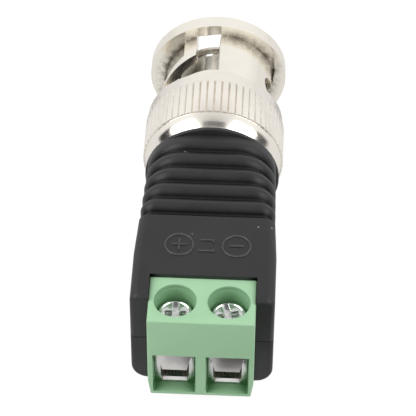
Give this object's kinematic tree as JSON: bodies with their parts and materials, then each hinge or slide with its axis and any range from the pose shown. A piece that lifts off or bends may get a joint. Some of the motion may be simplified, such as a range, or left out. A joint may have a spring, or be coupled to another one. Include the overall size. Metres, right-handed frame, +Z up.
{
  "type": "bnc screw terminal adapter",
  "caption": "Bayonet video plug in a ribbed black moulding with a green two-pole screw terminal at its rear, for joining bare wires to a camera socket.",
  "frame": {"origin": "on the plug's axis, at the front face of the outer contact, where the centre pin reaches its full width", "axes": "+Y along the plug's axis, towards its mouth; +Z up, out of the screw wells; +X to the right seen from the terminal end"},
  "size_m": [0.0144, 0.0412, 0.0144],
  "materials": {
    "nut_nickel": "nickel plate, satin",
    "contact_nickel": "nickel plate",
    "plug_brass": "turned",
    "pin_gold": "gold flash",
    "insulator_white": "pale moulded plastic",
    "gasket_rubber": "matte rubber",
    "spring_steel": "spring steel",
    "housing_black": "satin moulded plastic",
    "block_green": "pale green moulded plastic",
    "clamp_zinc": "zinc plate",
    "bar_tin": "tin plate",
    "wire_copper": "tinned copper wire",
    "solder_tin": "solder"
  },
  "bodies": {
    "housing": {"outer_contact": "contact_nickel", "plug_body": "plug_brass", "centre_contact": "pin_gold", "insulator": "insulator_white", "gasket": "gasket_rubber", "wave_spring": "spring_steel", "retaining_ring": "spring_steel", "moulded_body": "housing_black", "terminal_housing": "block_green", "contact_bar_left": "bar_tin", "contact_bar_right": "bar_tin", "signal_lead": "wire_copper", "ground_lead": "wire_copper", "cup_solder": "solder_tin", "shelf_solder": "solder_tin", "tail_solder_left": "solder_tin", "tail_solder_right": "solder_tin"},
    "washer": {"thrust_washer": "spring_steel"},
    "nut": {"coupling_nut": "nut_nickel"},
    "screw_left": {"clamp_screw_left": "clamp_zinc"},
    "screw_right": {"clamp_screw_right": "clamp_zinc"},
    "cage_left": {"clamp_cage_left": "clamp_zinc"},
    "cage_right": {"clamp_cage_right": "clamp_zinc"}
  },
  "joints": [
    {"name": "nut_push", "type": "slide", "parent": "housing", "child": "washer", "axis": [0, 1, 0], "range_m": [0, 0.001], "stiffness_N_per_m": 2500, "springref_m": -0.0004, "deforming": ["wave_spring"]},
    {"name": "nut_turn", "type": "hinge", "parent": "washer", "child": "nut", "pos_m": [0, 0, 0], "axis": [0, 1, 0], "continuous": true},
    {"name": "cage_left_rise", "type": "slide", "parent": "housing", "child": "cage_left", "axis": [0, 0, 1], "range_m": [0, 0.0018]},
    {"name": "screw_left_turn", "type": "hinge", "parent": "housing", "child": "screw_left", "pos_m": [-0.00254, -0.037, 0], "axis": [0, 0, -1], "range_deg": [0, 1441]},
    {"name": "cage_right_rise", "type": "slide", "parent": "housing", "child": "cage_right", "axis": [0, 0, 1], "range_m": [0, 0.0018]},
    {"name": "screw_right_turn", "type": "hinge", "parent": "housing", "child": "screw_right", "pos_m": [0.00254, -0.037, 0], "axis": [0, 0, -1], "range_deg": [0, 1441]}
  ],
  "couplings": [
    {"joint": "screw_left_turn", "follows": "cage_left_rise", "rad_per_m": 13963},
    {"joint": "screw_right_turn", "follows": "cage_right_rise", "rad_per_m": 13963}
  ]
}
